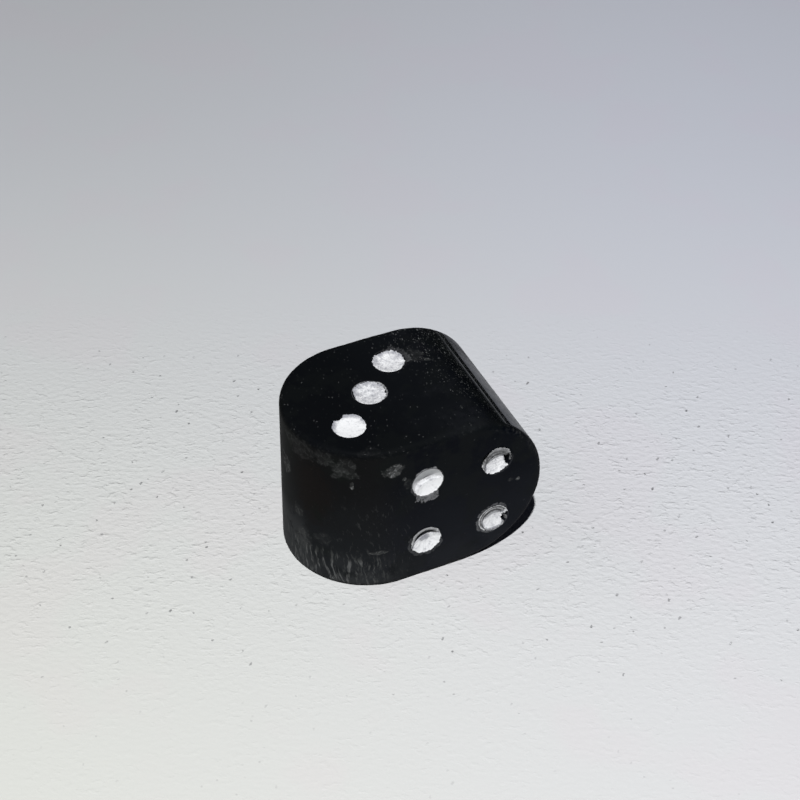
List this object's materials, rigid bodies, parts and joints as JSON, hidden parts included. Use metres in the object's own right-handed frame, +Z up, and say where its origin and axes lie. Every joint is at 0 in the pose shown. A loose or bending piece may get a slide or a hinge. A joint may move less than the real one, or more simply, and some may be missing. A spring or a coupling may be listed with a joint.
{
  "type": "four-sided die",
  "caption": "Long die with flat faces and crossed half-round ends, rolled so that it comes to rest on a face and shows the opposite face's painted pips.",
  "frame": {"origin": "on the surface it lies on, under the middle of the die", "axes": "+X along the die, from the round end that stands upright to the round end that lies flat; +Z up, out of the face with three pips; -Y out of the face with four pips"},
  "size_m": [0.016, 0.0114, 0.012],
  "materials": {
    "black_plastic": "moulded gloss, with scuffed edges, fine scratches and dust",
    "white_paint": "dried brush paint, uneven and slightly grey at the rim"
  },
  "bodies": {
    "root": {"die_body": "black_plastic", "pip_three_front": "white_paint", "pip_three_middle": "white_paint", "pip_three_back": "white_paint", "pip_two_front": "white_paint", "pip_two_back": "white_paint", "pip_four_upper_left": "white_paint", "pip_four_upper_right": "white_paint", "pip_four_lower_left": "white_paint", "pip_four_lower_right": "white_paint", "pip_one_middle": "white_paint"}
  },
  "joints": []
}
